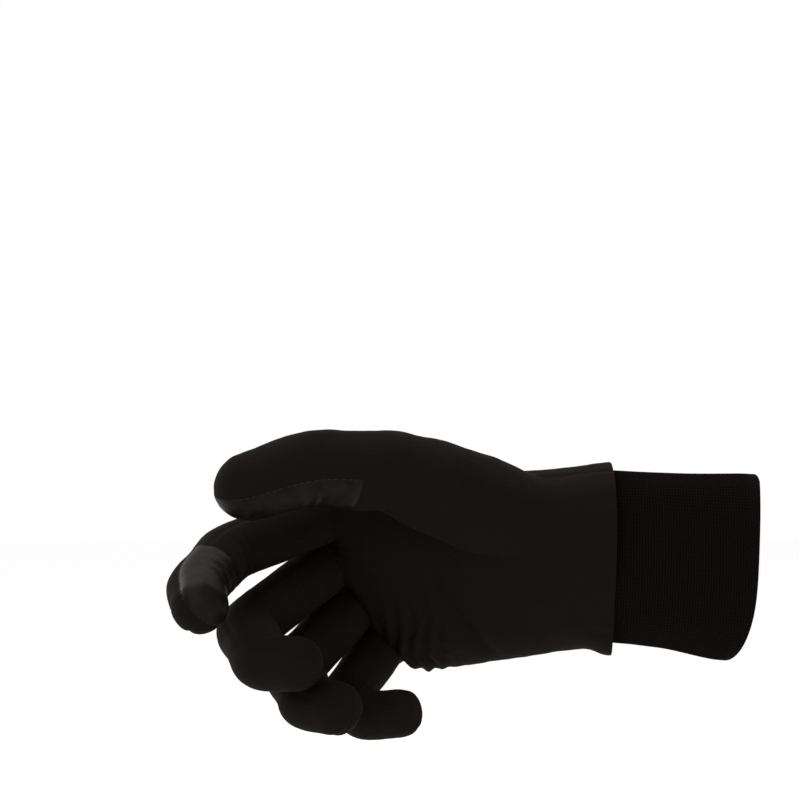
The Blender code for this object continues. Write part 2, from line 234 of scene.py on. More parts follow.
def add_node(material, kind, settings=None, links=None):
    """A node with its settings (attributes or sockets by name) and its links {socket: output}."""
    node = material.node_tree.nodes.new(kind)
    for key, value in (settings or {}).items():
        if isinstance(key, str) and hasattr(node, key):
            setattr(node, key, value)
        else:
            node.inputs[key].default_value = value
    for socket, output in (links or {}).items():
        material.node_tree.links.new(output, node.inputs[socket])
    return node


BANDS_A_UNIT = 3.14  # bands that the wave texture draws in one of its units, to within 2 percent


def wave_scale(pitch):
    """The wave texture's scale for bands this many mm apart."""
    return 1 / (pitch * MM) / BANDS_A_UNIT


def new_material(name, settings):
    material = bpy.data.materials.new(name)
    material.use_nodes = True
    shader = material.node_tree.nodes["Principled BSDF"]
    for socket, value in settings.items():
        shader.inputs[socket].default_value = value
    return material, shader


# %% [markdown]
# Brushed polyester jersey: fine loops of about 0.5 mm, raised by brushing into a short matt nap. The
# loops are drawn at 0.9 mm so that they show, in rows along the hand, and the nap is a fine noise and
# a little sheen, which lights up the edges where the cloth turns away.

# %% Brushed jersey
def brushed_jersey(name, dark, light):
    material, shader = new_material(name, {
        "Roughness": 0.93, "IOR": 1.46, "Specular IOR Level": 0.05,
        "Sheen Weight": 0.012, "Sheen Roughness": 0.3, "Sheen Tint": srgb("#d9a892"),
    })
    place = add_node(material, "ShaderNodeTexCoord")
    loops = add_node(material, "ShaderNodeTexWave", {
        "wave_type": "BANDS", "bands_direction": "Z", "Scale": wave_scale(0.9),
        "Distortion": 2.5, "Detail": 1.0, "Detail Scale": 2.0,
    }, {"Vector": place.outputs["Object"]})
    nap = add_node(material, "ShaderNodeTexNoise", {
        "Scale": 1 / (0.7 * MM), "Detail": 3.0, "Roughness": 0.6,
    }, {"Vector": place.outputs["Object"]})
    cloud = add_node(material, "ShaderNodeTexNoise", {"Scale": 1 / (16 * MM), "Detail": 2.0},
                     {"Vector": place.outputs["Object"]})
    mixed = add_node(material, "ShaderNodeMix", {"data_type": "FLOAT", "Factor": 0.75},
                     {"A": loops.outputs["Fac"], "B": nap.outputs["Fac"]})
    shade = add_node(material, "ShaderNodeMath", {"operation": "MULTIPLY_ADD", 1: 1.6},
                     {0: mixed.outputs["Result"], 2: cloud.outputs["Fac"]})
    ramp = add_node(material, "ShaderNodeValToRGB", {}, {"Fac": shade.outputs["Value"]})
    ramp.color_ramp.elements[0].position, ramp.color_ramp.elements[0].color = 0.75, srgb(dark)
    ramp.color_ramp.elements[1].position, ramp.color_ramp.elements[1].color = 1.0, srgb(light)
    bump = add_node(material, "ShaderNodeBump", {"Strength": 0.9, "Distance": 0.3 * MM},
                    {"Height": mixed.outputs["Result"]})
    material.node_tree.links.new(ramp.outputs["Color"], shader.inputs["Base Color"])
    material.node_tree.links.new(bump.outputs["Normal"], shader.inputs["Normal"])
    return material


JERSEY = brushed_jersey("brushed_polyester_jersey", "#060403", "#110d0a")
# The fourchettes, the strips between the fingers, get a darker copy of the jersey: painted shade where the fingers
# shade each other.
FOURCHETTE_JERSEY_PAINTED_SHADE = brushed_jersey("brushed_jersey_fourchette_painted_shade", "#050403", "#0f0b09")

# %% [markdown]
# Rib knit: spun acrylic with elastane, matt and a touch darker than the jersey. The ribs themselves
# are geometry, so the finish only adds the stitches, short steps along each rib 1.1 mm apart.

# %% Rib knit
def rib_knit(name):
    material, shader = new_material(name, {
        "Roughness": 0.95, "IOR": 1.46, "Specular IOR Level": 0.03,
        "Sheen Weight": 0.006, "Sheen Roughness": 0.4, "Sheen Tint": srgb("#d0a390"),
    })
    place = add_node(material, "ShaderNodeTexCoord")
    stitches = add_node(material, "ShaderNodeTexWave", {
        "wave_type": "BANDS", "bands_direction": "X", "Scale": wave_scale(1.1),
        "Distortion": 1.2, "Detail": 1.0, "Detail Scale": 3.0,
    }, {"Vector": place.outputs["Object"]})
    fuzz = add_node(material, "ShaderNodeTexNoise", {"Scale": 1 / (0.6 * MM), "Detail": 3.0},
                    {"Vector": place.outputs["Object"]})
    mixed = add_node(material, "ShaderNodeMix", {"data_type": "FLOAT", "Factor": 0.55},
                     {"A": stitches.outputs["Fac"], "B": fuzz.outputs["Fac"]})
    ramp = add_node(material, "ShaderNodeValToRGB", {}, {"Fac": mixed.outputs["Result"]})
    ramp.color_ramp.elements[0].position, ramp.color_ramp.elements[0].color = 0.25, srgb("#040303")
    ramp.color_ramp.elements[1].position, ramp.color_ramp.elements[1].color = 0.8, srgb("#0f0b0a")
    bump = add_node(material, "ShaderNodeBump", {"Strength": 0.5, "Distance": 0.2 * MM},
                    {"Height": mixed.outputs["Result"]})
    material.node_tree.links.new(ramp.outputs["Color"], shader.inputs["Base Color"])
    material.node_tree.links.new(bump.outputs["Normal"], shader.inputs["Normal"])
    return material


RIB = rib_knit("acrylic_rib_knit")

# %% [markdown]
# The pads are taken to be thin goatskin treated to conduct: smooth, satin and a little greyer than the
# jersey, with a pebble grain of about 0.75 mm and soft highlights.

# %% Conductive leather
def touch_leather(name):
    material, shader = new_material(name, {
        "IOR": 1.5, "Specular IOR Level": 0.06,
    })
    place = add_node(material, "ShaderNodeTexCoord")
    grain = add_node(material, "ShaderNodeTexVoronoi", {"Scale": 1 / (0.75 * MM), "Randomness": 1.0},
                     {"Vector": place.outputs["Object"]})
    creases = add_node(material, "ShaderNodeTexNoise", {"Scale": 1 / (5 * MM), "Detail": 4.0},
                       {"Vector": place.outputs["Object"]})
    ramp = add_node(material, "ShaderNodeValToRGB", {}, {"Fac": creases.outputs["Fac"]})
    ramp.color_ramp.elements[0].position, ramp.color_ramp.elements[0].color = 0.35, srgb("#080706")
    ramp.color_ramp.elements[1].position, ramp.color_ramp.elements[1].color = 0.7, srgb("#12100d")
    rough = add_node(material, "ShaderNodeMapRange", {"To Min": 0.38, "To Max": 0.52},
                     {"Value": creases.outputs["Fac"]})
    bump = add_node(material, "ShaderNodeBump", {"Strength": 0.35, "Distance": 0.15 * MM},
                    {"Height": grain.outputs["Distance"]})
    material.node_tree.links.new(ramp.outputs["Color"], shader.inputs["Base Color"])
    material.node_tree.links.new(rough.outputs["Result"], shader.inputs["Roughness"])
    material.node_tree.links.new(bump.outputs["Normal"], shader.inputs["Normal"])
    return material


LEATHER = touch_leather("conductive_goatskin")

# %% [markdown]
# Spun polyester thread for the seams, with a fine twist, and the blank woven tape of the care label.

# %% Thread and tape
def fine_weave(name, dark, light, pitch, direction, roughness):
    material, shader = new_material(name, {"Roughness": roughness, "IOR": 1.5, "Specular IOR Level": 0.12})
    place = add_node(material, "ShaderNodeTexCoord")
    twist = add_node(material, "ShaderNodeTexWave", {
        "wave_type": "BANDS", "bands_direction": direction, "Scale": wave_scale(pitch),
        "Distortion": 1.0,
    }, {"Vector": place.outputs["Object"]})
    ramp = add_node(material, "ShaderNodeValToRGB", {}, {"Fac": twist.outputs["Fac"]})
    ramp.color_ramp.elements[0].color = srgb(dark)
    ramp.color_ramp.elements[1].color = srgb(light)
    bump = add_node(material, "ShaderNodeBump", {"Strength": 0.4, "Distance": 0.1 * MM},
                    {"Height": twist.outputs["Fac"]})
    material.node_tree.links.new(ramp.outputs["Color"], shader.inputs["Base Color"])
    material.node_tree.links.new(bump.outputs["Normal"], shader.inputs["Normal"])
    return material


THREAD = fine_weave("spun_polyester_thread", "#100d0a", "#241e19", 0.5, "DIAGONAL", 0.8)
TAPE = fine_weave("woven_label_tape", "#25211d", "#3a352f", 0.6, "X", 0.85)

# %% [markdown]
# A finger's centreline runs through its hinges with each corner rounded to an arc, as cloth does over
# a bent joint. sleeve() walks it and sets a ring of points round each step. How near the step is to a
# hinge sets the knuckle's bulge on the back and the folds on the palm side.

# %% Centrelines
CORNER = 10.0  # mm of each length that a rounded corner takes
ARC_POINTS = 16


def centreline(places, step=0.8):
    """Steps along the rounded path, the place of each step, and the steps of the hinges."""
    path, marks = [places[0]], []
    for i in range(1, len(places) - 1):
        into, out = unit(places[i] - places[i - 1]), unit(places[i + 1] - places[i])
        reach = min(CORNER, np.linalg.norm(places[i] - places[i - 1]) * 0.49)
        start, end = places[i] - into * reach, places[i] + out * reach
        share = np.linspace(0, 1, ARC_POINTS)[:, None]
        curve = (1 - share) ** 2 * start + 2 * share * (1 - share) * places[i] + share ** 2 * end
        marks.append(len(path) + ARC_POINTS // 2)
        path += list(curve)
    path.append(places[-1])
    path = np.array(path)
    run = np.concatenate([[0], np.cumsum(np.linalg.norm(np.diff(path, axis=0), axis=1))])
    hinges = [0.0, *[run[m] for m in marks], run[-1]]
    stations = np.arange(0, run[-1], step)
    stations = np.append(stations, run[-1])
    smooth = np.array([np.interp(stations, run, path[:, k]) for k in range(3)]).T
    return stations, smooth, hinges


FINGER_SWELL, THUMB_SWELL = 1.9, 0.5  # mm that the back stands out at a bent joint
SWELL_REACH = 7.5
FOLD_HALF_PITCH, FOLD_REACH, FOLD_HEIGHT = 2.9, 5.5, 0.45  # folds across the palm side of a joint
HOLLOW = 0.9  # mm that the palm side sinks in at a joint
TIP_HOLE = 0.02  # a tip closes to this share of its size


def sleeve(name, columns=72):
    """A finger's whole sleeve from its buried start to its tip, with its angles, steps and hinges."""
    places, across = CHAINS[name]
    stations, path, hinges = centreline(places)
    widths = np.interp(stations, hinges, WIDTHS[name])
    depths = np.interp(stations, hinges, DEPTHS[name])
    along = np.gradient(path, axis=0)
    along /= np.linalg.norm(along, axis=1, keepdims=True)
    back = np.cross(along, across)
    cap = (WIDTHS[name][-1] + DEPTHS[name][-1]) / 2
    power = SQUARE_TIP.get(name, 2.0)
    reach = np.clip((stations - (stations[-1] - cap)) / cap, 0, 1)
    close = (1 - reach ** power) ** (1 / power)
    close[-1] = TIP_HOLE
    swell_height = THUMB_SWELL if name == "thumb" else FINGER_SWELL
    angles = np.linspace(0, 2 * math.pi, columns, endpoint=False)
    points = np.zeros((columns, len(stations), 3))
    for i, angle in enumerate(angles):
        side, up = math.cos(angle), math.sin(angle)
        swell = np.zeros(len(stations))
        for h in hinges[1:-1]:
            near = np.exp(-(((stations - h) / SWELL_REACH) ** 2))
            swell += near * swell_height * max(0.0, up) ** 2
            fold = np.cos((stations - h) / FOLD_HALF_PITCH * math.pi)
            fold = fold * np.exp(-(((stations - h) / FOLD_REACH) ** 2))
            swell -= (HOLLOW * near - FOLD_HEIGHT * fold) * max(0.0, -up) ** 1.5
        radius_side = (widths + swell) * close
        radius_up = (depths + swell) * close
        points[i] = path + across * (radius_side * side)[:, None] + back * (radius_up * up)[:, None]
    return points, angles, stations, hinges


# %% [markdown]
# Real jersey is never a perfect tube: it has shallow hollows a centimetre across and finer ripples.
# wrinkle() moves points along their normals by a smooth noise of those two sizes.

# %% Soft wrinkles
def wrinkle(points, normals, size=11.0, height=0.35, seed=0.0):
    offsets = []
    for p in points:
        coarse = noise.noise(Vector(p / size) + Vector((seed, 0, 0)))
        fine = noise.noise(Vector(p / (size * 0.35)) + Vector((0, seed, 7)))
        offsets.append(height * (coarse + 0.35 * fine))
    return points + normals * np.array(offsets)[:, None]


# %% [markdown]
# Each sleeve is cut as a glove is: a back strip, a palm strip and a narrow fourchette between two
# fingers. A fourchette reaches 6.2 mm either side of the middle of the depth where the sleeve is
# slimmest, and the index finger's pad goes on 36 degrees round its thumb side. The skin dips along
# each cut, so that a seam reads as a fine valley. Along the sleeve it is cut half way along each
# bone, where it doesn't bend, so that each section holds one hinge.

# %% Finger strips
FORK_HALF = 6.2
PAD_WRAP = math.radians(36)  # the index finger's pad goes on round its thumb side
SEAM_DEPTH, SEAM_WIDTH = 0.55, 1.1
FORKS = {
    "index": ("ulnar",), "middle": ("radial", "ulnar"), "ring": ("radial", "ulnar"),
    "little": ("radial",), "thumb": (),
}


def seam_angles(name, wrap=0.0):
    """The angles of the seams round a sleeve, with the strip that starts at each."""
    half = math.asin(FORK_HALF / min(DEPTHS[name]))
    radial = half if "radial" in FORKS[name] else 0.0
    ulnar = half if "ulnar" in FORKS[name] else 0.0
    seams = [(radial + wrap, "back"), (math.pi - ulnar, "fourchette_ulnar" if ulnar else "palm")]
    if ulnar:
        seams.append((math.pi + ulnar, "palm"))
    if radial:
        seams.append((2 * math.pi - radial, "fourchette_radial"))
    return seams


def whole_sleeve(name):
    """The sleeve's grid with its normals, wrinkled and with its seam valleys pressed in."""
    grid, angles, stations, hinges = sleeve(name)
    columns, rows = grid.shape[:2]
    flat = grid.reshape(-1, 3)
    normals = grid_normals(flat, columns, rows, True)
    seed = 3.1 * len(name) + ord(name[0])
    flat = wrinkle(flat, normals, seed=seed)
    girth = (min(WIDTHS[name]) + min(DEPTHS[name])) / 2
    pad_from = (hinges[-3] + hinges[-2]) / 2
    press = np.zeros((columns, rows))
    for on_pad in (False, True):
        valley = np.zeros(columns)
        for seam, _ in seam_angles(name, PAD_WRAP if on_pad and name == "index" else 0.0):
            gap = np.abs((angles - seam + math.pi) % (2 * math.pi) - math.pi) * girth
            valley = np.maximum(valley, np.exp(-((gap / SEAM_WIDTH) ** 2)))
        rows_here = (stations >= pad_from) == on_pad
        press[:, rows_here] = valley[:, None]
    if name in ("index", "thumb"):
        edge = np.exp(-(((stations - pad_from) / SEAM_WIDTH) ** 2))
        press = np.maximum(press, edge[None, :] * (np.sin(angles) < 0.1)[:, None])
    fade = np.clip((stations[-1] - stations) / 4, 0, 1)
    flat = flat - normals * (SEAM_DEPTH * press * fade[None, :]).reshape(-1, 1)
    return flat, grid_normals(flat, columns, rows, True), columns, rows, angles, stations, hinges


def strip_faces(name, angles, rows, first_row, last_row, wrap):
    """Faces of a section, sorted into strips by the seam that each column follows."""
    seams = seam_angles(name, wrap)
    strips = {}
    count = len(angles)
    for i in range(count):
        middle = (angles[i] + math.pi / count) % (2 * math.pi)
        kind = [label for seam, label in seams if seam <= middle]
        label = kind[-1] if kind else seams[-1][1]
        here, there = i * rows, (i + 1) % count * rows
        quads = [(here + j, there + j, there + j + 1, here + j + 1) for j in range(first_row, last_row)]
        strips.setdefault(label, []).extend(quads)
    return strips


def compact(faces):
    """The points that a set of faces uses, and the faces renumbered to them."""
    used = sorted({i for face in faces for i in face})
    place = {old: new for new, old in enumerate(used)}
    return used, [tuple(place[i] for i in face) for face in faces]


def make_sections(name, bodies):
    """The strips of a sleeve, in sections that each cover one hinge."""
    flat, normals, columns, rows, angles, stations, hinges = whole_sleeve(name)
    halves = [(hinges[i] + hinges[i + 1]) / 2 for i in range(1, len(hinges) - 2)]
    cuts = [0, *[int(np.argmin(np.abs(stations - h))) for h in halves], rows - 1]
    for k in range(len(cuts) - 1):
        near, far = bodies[k], bodies[k + 1]
        wrap = PAD_WRAP if far == "index_distal" else 0.0
        for label, faces in strip_faces(name, angles, rows, cuts[k], cuts[k + 1], wrap).items():
            used, faces = compact(faces)
            part = far.split("_")[1]
            pad = label == "palm" and part == "distal" and name in ("index", "thumb")
            # The fourchettes take the darker copy of the jersey, painted shade between the fingers.
            finish = LEATHER if pad else FOURCHETTE_JERSEY_PAINTED_SHADE if "fourchette" in label else JERSEY
            title = f"{name}_touch_pad_leather" if pad else f"{name}_{part}_{label}_cloth"
            thing = cloth(title, flat[used], faces, normals[used], finish)
            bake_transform(thing)
            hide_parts(f"{name}_touch_pad" if pad else f"{name}_{part}_{label}")
    return {"points": flat.reshape(columns, rows, 3), "normals": normals.reshape(columns, rows, 3),
            "angles": angles, "stations": stations, "hinges": hinges, "cuts": cuts}


SLEEVES = {}
for name in FINGER_NAMES:
    lengths = [f"{name}_{part}" for part in ("proximal", "middle", "distal")]
    SLEEVES[name] = make_sections(name, ["hand", *lengths])
SLEEVES["thumb"] = make_sections("thumb", ["hand", "thumb_proximal", "thumb_distal"])

# %% [markdown]
# The hand of the glove is three panels: the back, the palm, and a cone for the thumb's base that is
# set into them. They are drawn as one stretched skin, because elastic cloth bridges the hollows
# between the knuckles: simple closed forms are run together, remeshed and relaxed, and only then is
# the skin cut into its panels along the seams.

# %% Closed forms under the hand's skin
# Along the hand from the wrist hinge: half width, half depth, shift to the thumb side and to the back.
HAND_ROWS = np.array([
    (-12.0, 36.0, 26.6, 0.0, 0.0), (0.0, 36.2, 25.8, 0.0, 0.0), (12.0, 36.4, 24.5, -0.3, 0.0),
    (40.0, 38.9, 20.8, -0.7, 1.0), (70.0, 41.3, 17.2, -1.1, 2.5), (88.0, 41.4, 15.6, -1.7, 2.8),
    (96.0, 37.0, 13.2, -1.2, 3.0), (101.0, 31.0, 9.0, -1.2, 3.0),
])
HAND_SQUARENESS = 2.5
SKEW = 0.36  # the knuckle line slopes: the little finger's side is this much shorter per mm across
FORM_SIDES = 56
THUMB_BASE_RADII = ((0.0, 17.5, 18.0), (20.0, 18.6, 19.0), (44.0, 17.0, 17.4), (60.0, 14.9, 15.2))


def add_form(bm, rings):
    """A closed tube through rings of points, added to a bmesh."""
    layers = [[bm.verts.new(tuple(p * MM)) for p in ring] for ring in rings]
    for low, high in zip(layers, layers[1:]):
        for i in range(len(low)):
            j = (i + 1) % len(low)
            bm.faces.new((low[i], low[j], high[j], high[i]))
    bm.faces.new(layers[0][::-1])
    bm.faces.new(layers[-1])


def superellipse(angles, power):
    cos, sin = np.cos(angles), np.sin(angles)
    return np.sign(cos) * np.abs(cos) ** (2 / power), np.sign(sin) * np.abs(sin) ** (2 / power)


ROUND = np.linspace(0, 2 * math.pi, FORM_SIDES, endpoint=False)


def hand_rings():
    side, up = superellipse(ROUND, HAND_SQUARENESS)
    rings = []
    for along in np.arange(HAND_ROWS[0, 0], HAND_ROWS[-1, 0] + 0.1, 3.0):
        sizes = [np.interp(along, HAND_ROWS[:, 0], HAND_ROWS[:, k]) for k in range(1, 5)]
        width, depth, shift, back = sizes
        across = width * side + shift
        slope = SKEW * np.minimum(across - 8.0, 0) * np.clip((along - 55) / 40, 0, 1)
        rings.append(from_hand(np.array([along + slope, across, depth * up + back]).T))
    return rings


def thumb_rings():
    along = unit(KNUCKLES["thumb"] - THUMB_ROOT)
    across = CHAINS["thumb"][1]
    across = unit(across - along * (across @ along))
    back = np.cross(along, across)
    rings = []
    for station, width, depth in THUMB_BASE_RADII:
        centre = THUMB_ROOT + along * station
        offsets = np.outer(width * np.cos(ROUND), across)
        rings.append(centre + offsets + np.outer(depth * np.sin(ROUND), back))
    return rings


STUB_LENGTH, STUB_INSET = 20.0, 0.7


def stub_rings(name):
    """The start of a finger's sleeve, a little thinner, so that the skin leads into it."""
    sleeve_grid = SLEEVES[name]
    last = int(np.argmin(np.abs(sleeve_grid["stations"] - STUB_LENGTH)))
    rings = []
    for row in range(0, last, 3):
        inward = sleeve_grid["normals"][:, row] * STUB_INSET
        rings.append(sleeve_grid["points"][:, row] - inward)
    return rings


# %% [markdown]
# The forms are run together by a voxel remesh, which closes them into one skin, and a smoothing pass
# then draws it over the hollows as stretched cloth is drawn. The skin is cut square where the cuff
# begins, so the hand is open at the wrist.

# %% The skin: run together, remeshed and relaxed
VOXEL = 1.25
bm = bmesh.new()
add_form(bm, hand_rings())
add_form(bm, thumb_rings())
for name in FINGER_NAMES:
    add_form(bm, stub_rings(name))
bmesh.ops.recalc_face_normals(bm, faces=bm.faces)
form_mesh = bpy.data.meshes.new("hand_form")
bm.to_mesh(form_mesh)
bm.free()
form = bpy.data.objects.new("hand_form", form_mesh)
bpy.context.scene.collection.objects.link(form)
remesh = form.modifiers.new("skin", "REMESH")
remesh.mode, remesh.voxel_size = "VOXEL", VOXEL * MM
relax = form.modifiers.new("relax", "SMOOTH")
relax.factor, relax.iterations = 0.5, 14
skin = bpy.data.meshes.new_from_object(form.evaluated_get(bpy.context.evaluated_depsgraph_get()))
bpy.data.objects.remove(form)
bm = bmesh.new()
bm.from_mesh(skin)
SEAM_X = -56.6  # mm, where the hand's cloth ends over the cuff
bmesh.ops.bisect_plane(
    bm, geom=[*bm.verts, *bm.edges, *bm.faces], plane_co=(SEAM_X * MM, 0, 0), plane_no=(1, 0, 0),
    clear_outer=True, dist=1e-6,
)
bm.normal_update()
bm.verts.ensure_lookup_table()
skin_points = np.array([v.co[:] for v in bm.verts]) / MM
skin_normals = np.array([v.normal[:] for v in bm.verts])
skin_faces = [tuple(v.index for v in face.verts) for face in bm.faces]
bm.free()
print("skin", len(skin_points), "points", len(skin_faces), "faces")

# %% [markdown]
# What the cloth does on the palm: it gathers in soft upright folds below the curled fingers, a crease
# runs beside the ball of the thumb, and it bunches where the cuff pulls it in at the wrist. Each is
# a small push along the surface's normal, placed in the hand's own axes.

# %% Folds, creases and panel seams
GATHERS = {"along": 76.0, "across": -28.0, "reach": (15.0, 19.0), "pitch": 6.0, "height": 1.35}
CREASE = {"from": (68.0, 10.0), "to": (42.0, -36.0), "width": 3.0, "depth": 2.1}
RIDGE = {"away": 6.0, "width": 4.0, "height": 0.6}  # the cloth stands up beside the crease
BUNCH = {"length": 10.0, "pitch_deg": 19.0, "height": 0.75}
FLARE = {"length": 11.0, "thumb_side": 0.2, "little_side": 3.8}


def ease(value):
    value = np.clip(value, 0, 1)
    return value * value * (3 - 2 * value)


def segment_distance(points, start, end):
    line = np.array(end) - np.array(start)
    share = np.clip((points - start) @ line / (line @ line), 0, 1)
    return np.linalg.norm(points - (np.array(start) + share[:, None] * line), axis=1), share


local = to_hand(skin_points)
facing = skin_normals @ HAND_Z
on_palm = ease(-facing * 1.6)
bell = np.exp(-(((local[:, 0] - GATHERS["along"]) / GATHERS["reach"][0]) ** 2))
bell *= np.exp(-(((local[:, 1] - GATHERS["across"]) / GATHERS["reach"][1]) ** 2))
waver = np.array([noise.noise(Vector((p[1] / 14, p[0] / 30, 3.0))) for p in local])
push = GATHERS["height"] * bell * np.cos(2 * math.pi * (local[:, 0] / GATHERS["pitch"] + waver)) * on_palm
away, share = segment_distance(local[:, :2], CREASE["from"], CREASE["to"])
push -= CREASE["depth"] * np.exp(-((away / CREASE["width"]) ** 2)) * on_palm * np.sin(math.pi * share)
ridge = np.exp(-(((away - RIDGE["away"]) / RIDGE["width"]) ** 2))
push += RIDGE["height"] * ridge * on_palm * np.sin(math.pi * share)
round_wrist = np.degrees(np.arctan2(local[:, 2], local[:, 1]))
near_wrist = np.exp(-((np.maximum(SEAM_X - skin_points[:, 0], 0) / BUNCH["length"]) ** 2))
below = 0.12 + 0.88 * ease(-local[:, 1] / 34) ** 1.5
wobble = np.array([noise.noise(Vector((a / 25, 0.0, 9.0))) for a in round_wrist])
bunch_turns = np.radians(round_wrist) * 360 / BUNCH["pitch_deg"] + 5 * wobble
push += BUNCH["height"] * near_wrist * below * np.sin(bunch_turns)

flare_reach = ease(1 - (SEAM_X - skin_points[:, 0]) / FLARE["length"])
push += flare_reach * (FLARE["thumb_side"] + (FLARE["little_side"] - FLARE["thumb_side"]) * below ** 2)

thumb_line, _ = segment_distance(skin_points, THUMB_ROOT, KNUCKLES["thumb"])
widths_here = np.interp(local[:, 0], HAND_ROWS[:, 0], HAND_ROWS[:, 1])
depths_here = np.interp(local[:, 0], HAND_ROWS[:, 0], HAND_ROWS[:, 2])
backs_here = np.interp(local[:, 0], HAND_ROWS[:, 0], HAND_ROWS[:, 4])
rise = np.abs((local[:, 2] - backs_here) / depths_here) ** HAND_SQUARENESS
reach_out = np.abs(local[:, 1] / widths_here) ** HAND_SQUARENESS
off_hand = ((rise + reach_out) ** (1 / HAND_SQUARENESS) - 1) * depths_here
of_thumb = off_hand - (thumb_line - 18.0)  # above 0 the skin belongs to the thumb's cone
panel_gap = np.abs(local[:, 2] - backs_here)
side_seam = np.exp(-((panel_gap / SEAM_WIDTH) ** 2)) * ease(np.abs(skin_normals @ HAND_Y) * 2 - 0.6)
thumb_seam = np.exp(-((of_thumb / 1.4) ** 2)) * ease((local[:, 0] - 16) / 8)
push -= SEAM_DEPTH * np.maximum(side_seam * (of_thumb < 1), thumb_seam)
skin_points = wrinkle(skin_points + skin_normals * push[:, None], skin_normals, 13.0, 0.55, 4.0)


def vertex_normals(points, faces):
    """Smooth normals of a mesh of quads and triangles."""
    normals = np.zeros_like(points)
    for face in faces:
        a, b = points[face[2]] - points[face[0]], points[face[-1]] - points[face[1]]
        normals[list(face)] += np.cross(a, b)
    return normals / np.maximum(np.linalg.norm(normals, axis=1, keepdims=True), 1e-9)


fresh = vertex_normals(skin_points, skin_faces)
skin_normals = fresh * np.sign((fresh * skin_normals).sum(axis=1))[:, None]

# %% [markdown]
# The skin is sorted into panels face by face. The thumb's cone takes what lies nearer to it than to
# the hand, and the side seam parts back from palm. The part next to the cuff turns with the wrist, so
# it is kept apart, while the three panels ride on the hand.

# %% Cutting the skin into its panels
WRIST_ZONE = 22.0  # mm from the hinge: the skin turns with the wrist up to here
panels = {}
for face in skin_faces:
    middle = local[list(face)].mean(axis=0)
    if middle[0] < WRIST_ZONE:
        kind = "wrist_back" if middle[2] > 0 else "wrist_palm"
    elif of_thumb[list(face)].mean() > 0 and middle[1] > 0:
        kind = "thumb_base"
    else:
        kind = "back" if middle[2] > backs_here[list(face)].mean() else "palm"
    panels.setdefault(kind, []).append(face)
STANDS_FOR = {"back": "back_panel", "palm": "palm_panel", "thumb_base": "thumb_base_panel"}
for kind, faces in panels.items():
    used, faces = compact(faces)
    thing = cloth(f"{kind}_cloth", skin_points[used], faces, skin_normals[used], JERSEY)
    if kind.startswith("wrist"):
        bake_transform(thing)
    else:
        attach(thing, "hand")
        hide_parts(STANDS_FOR[kind])
    print(kind, len(faces))

# %% [markdown]
# The cuff is one tube of rib knit folded back at the open end, so its edge is round. Its two layers
# lie flat together and are drawn as one wall, 2.7 mm thick. Ribs stand up where the knit's plain
# columns are, 1.6 mm apart, and fade towards the fold. The open end slants: the side by the little
# finger is pulled back along the forearm.

# %% Rib-knit cuff
CUFF_END, CUFF_SEAM = (37.0, 27.0), (34.6, 25.1)
CUFF_LENGTH, CUFF_ROLL, CUFF_LIFT = 57.5, math.radians(20), 3.7
CUFF_WALL, FOLD_RADIUS = 2.7, 1.35
RIBS, COLUMNS_A_RIB, RIB_HEIGHT = 128, 5, 0.32
SLANT, LOWER_FLARE = 10.5, 3.4  # the little-finger side is pulled back, and stands out at the end
NEAR_SLANT = 2.6  # the palm side is pulled back a little too


def cuff_ring(angles, along, inset, lift):
    """Points round the cuff: along is X, and lift is how far each stands out of the plain tube."""
    share = -along / CUFF_LENGTH
    width = CUFF_END[0] + (CUFF_SEAM[0] - CUFF_END[0]) * share - inset + lift
    depth = CUFF_END[1] + (CUFF_SEAM[1] - CUFF_END[1]) * share - inset + lift
    across, back = width * np.cos(angles), depth * np.sin(angles)
    y = -across * math.sin(CUFF_ROLL) + back * math.cos(CUFF_ROLL)
    z = across * math.cos(CUFF_ROLL) + back * math.sin(CUFF_ROLL) + CUFF_LIFT * share
    return np.array([along, y, z]).T


cuff_rows = []
for along in np.linspace(-CUFF_LENGTH, -FOLD_RADIUS, 34):
    cuff_rows.append((along, 0.0))
for turn in np.linspace(0, math.pi, 10)[1:-1]:
    inset = FOLD_RADIUS * (1 - math.cos(turn))
    cuff_rows.append((-FOLD_RADIUS + FOLD_RADIUS * math.sin(turn), inset))
for along in np.linspace(-FOLD_RADIUS, -CUFF_LENGTH, 20):
    cuff_rows.append((along, CUFF_WALL))

cuff_angles = np.linspace(0, 2 * math.pi, RIBS * COLUMNS_A_RIB, endpoint=False)
rib_wave = 0.5 + 0.5 * np.cos(cuff_angles * RIBS)
lower = ((1 - np.cos(cuff_angles)) / 2) ** 5
nearer = np.clip(-np.sin(cuff_angles), 0, 1)
pulled_back = SLANT * lower + NEAR_SLANT * nearer
cuff_grid = np.zeros((len(cuff_angles), len(cuff_rows), 3))
for row, (along, inset) in enumerate(cuff_rows):
    outside = 1 - inset / CUFF_WALL
    fade = ease((-along - 0.5) / 7)
    gathered = 1 + 0.5 * ease((-along - 44) / 12)
    lift = RIB_HEIGHT * rib_wave * (0.15 + 0.85 * fade) * gathered * (0.4 + 0.6 * outside)
    soft = 0.5 * np.sin(3 * cuff_angles + along / 17) + 0.35 * np.sin(7 * cuff_angles - along / 9)
    here = np.full(len(cuff_angles), along)
    here = here - pulled_back * (1 + along / CUFF_LENGTH)
    lift = lift + LOWER_FLARE * lower ** 0.6 * ease((along + 34) / 34)
    cuff_grid[:, row] = cuff_ring(cuff_angles, here, inset, lift + soft * 0.5 - 0.3)


